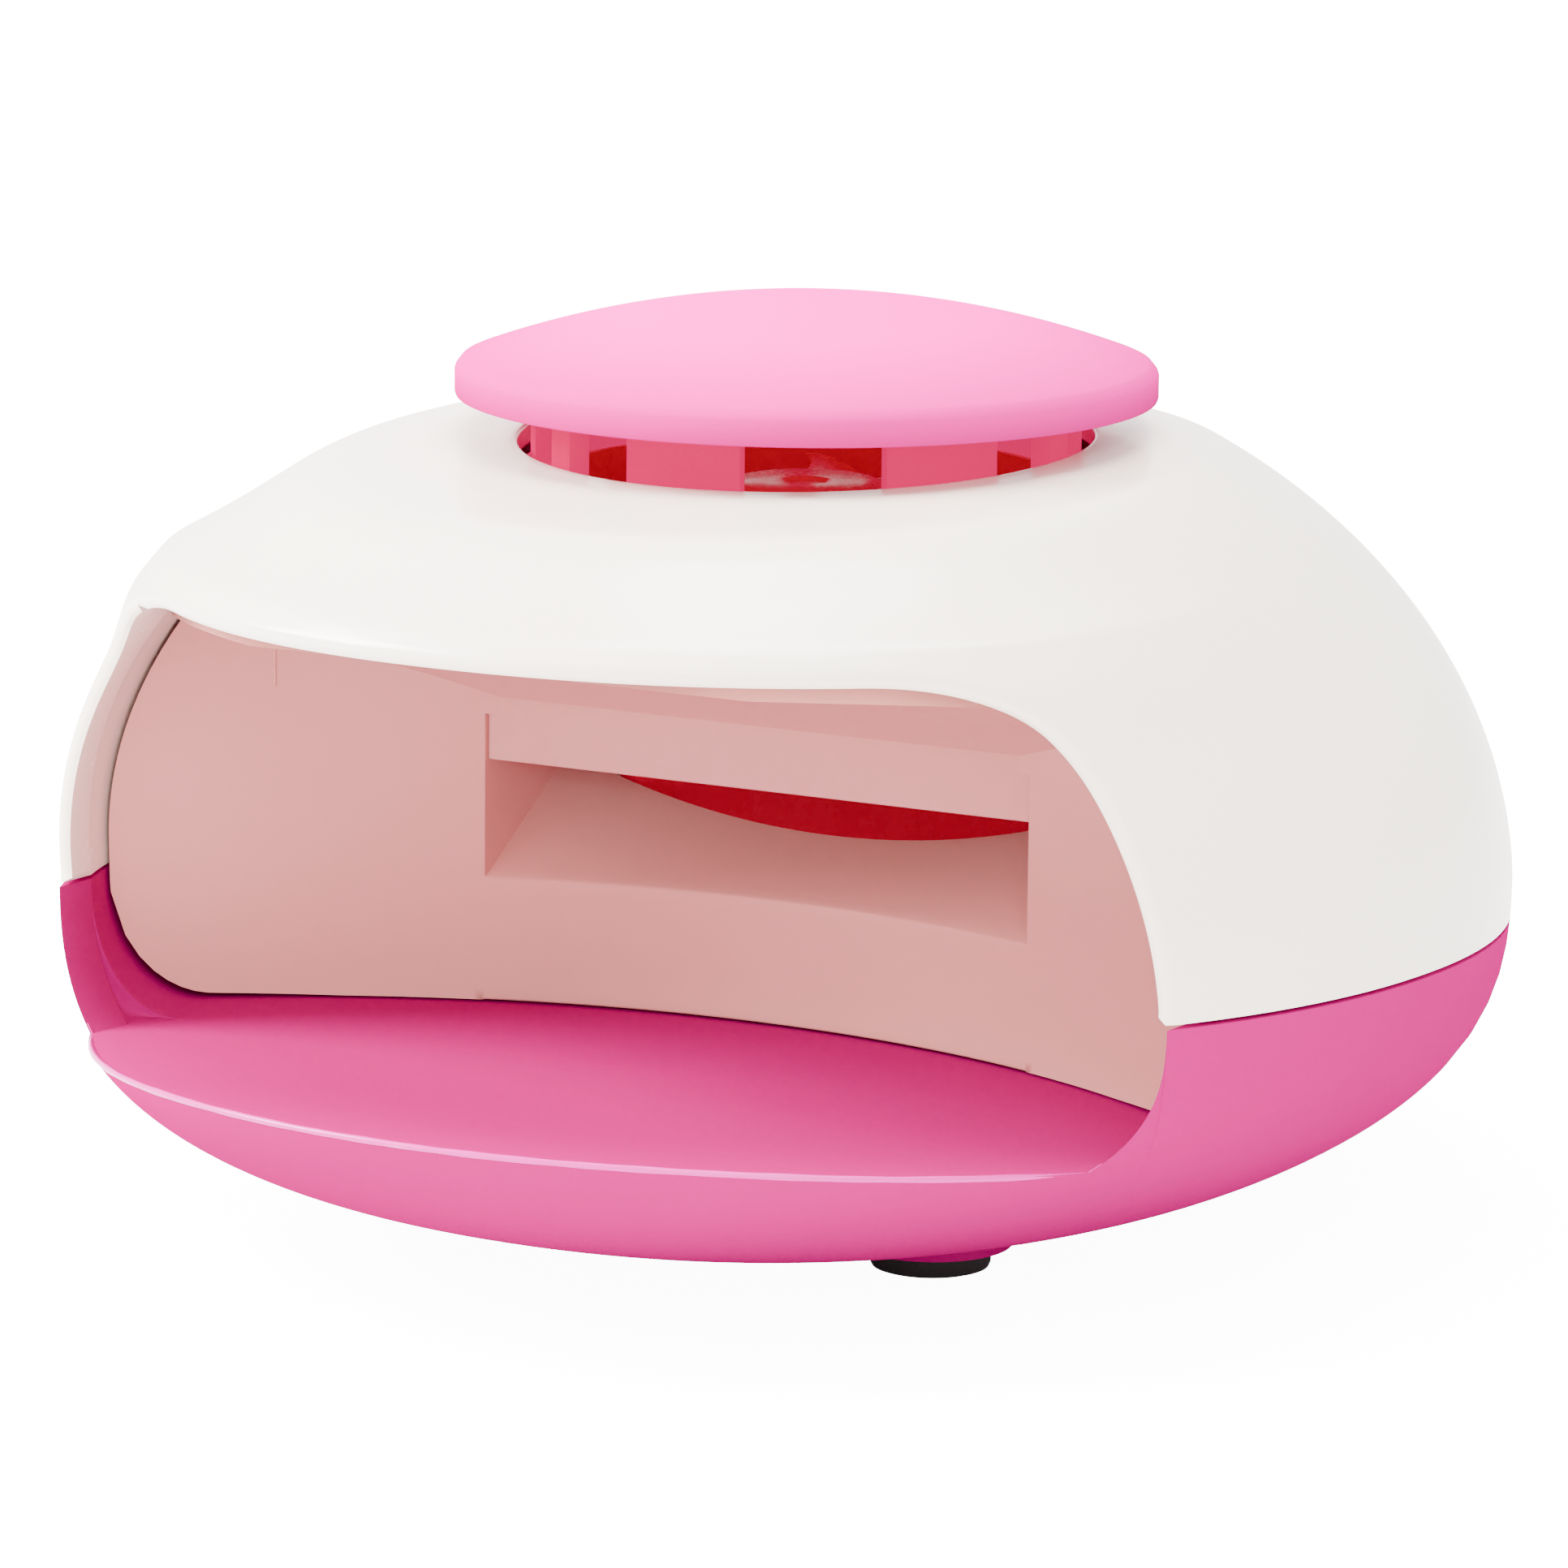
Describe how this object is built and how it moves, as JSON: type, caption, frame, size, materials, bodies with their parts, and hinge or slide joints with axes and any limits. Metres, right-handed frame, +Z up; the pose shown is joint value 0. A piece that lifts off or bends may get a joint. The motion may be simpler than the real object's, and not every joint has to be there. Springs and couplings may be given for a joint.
{
  "type": "fan nail dryer",
  "caption": "Egg-shaped tabletop nail dryer with an open front, a curved finger panel with an air window, a raised lens-shaped intake cap and a battery box.",
  "frame": {"origin": "on the ground under the middle of the object's box, at the height of the feet's undersides", "axes": "+Z up; the finger opening faces -Y; +X is to the right of a user looking into the opening"},
  "size_m": [0.12, 0.132, 0.0787],
  "materials": {
    "white_case": "glossy moulded plastic",
    "white_panel": "satin moulded plastic",
    "pink_case": "glossy moulded plastic",
    "pink_cap": "glossy slightly translucent plastic",
    "crimson_air": "semi gloss moulded plastic",
    "rubber": "matte rubber",
    "steel": "plated steel",
    "brass": "plated contact",
    "black_plastic": "moulded",
    "red_plastic": "moulded",
    "cell_jacket": "printed film jacket"
  },
  "bodies": {
    "case": {"top_shell": "white_case", "base_shell": "pink_case", "dome_cap": "pink_cap", "vent_ring": "crimson_air", "fan_duct": "crimson_air", "duct_floor": "crimson_air", "motor_bracket": "crimson_air", "motor_can": "steel", "switch_body": "black_plastic", "return_spring": "steel", "cell_1": "cell_jacket", "cell_2": "cell_jacket", "battery_spring_1": "steel", "battery_spring_2": "steel", "contact_left": "brass", "contact_right": "brass", "hinge_pin_left": "steel", "hinge_pin_right": "steel", "lead_red": "red_plastic", "lead_black": "black_plastic", "foot_front_right": "rubber", "foot_front_left": "rubber", "foot_rear_right": "rubber", "foot_rear_left": "rubber", "case_screw_right": "steel", "case_screw_left": "steel", "case_screw_back": "steel"},
    "rotor": {"impeller": "crimson_air", "motor_shaft": "steel"},
    "panel": {"finger_panel": "white_panel", "air_chute": "white_panel"},
    "plunger": {"switch_plunger": "red_plastic"},
    "door": {"battery_door": "pink_case"}
  },
  "joints": [
    {"name": "fan_spin", "type": "hinge", "parent": "case", "child": "rotor", "pos_m": [0, 0.002, 0.06], "axis": [0, 0, 1], "continuous": true},
    {"name": "panel_press", "type": "hinge", "parent": "case", "child": "panel", "pos_m": [0, -0.012, 0.047], "axis": [1, 0, 0], "range_deg": [0, 2.5], "stiffness_Nm_per_rad": 0.6, "springref_deg": -11.46},
    {"name": "switch_press", "type": "slide", "parent": "case", "child": "plunger", "axis": [0, 1, 0], "range_m": [0, 0.0012]},
    {"name": "door_slide", "type": "slide", "parent": "case", "child": "door", "axis": [-1, 0, 0], "range_m": [0, 0.036]}
  ],
  "couplings": [
    {"joint": "switch_press", "follows": "panel_press", "m_per_rad": 0.024}
  ]
}
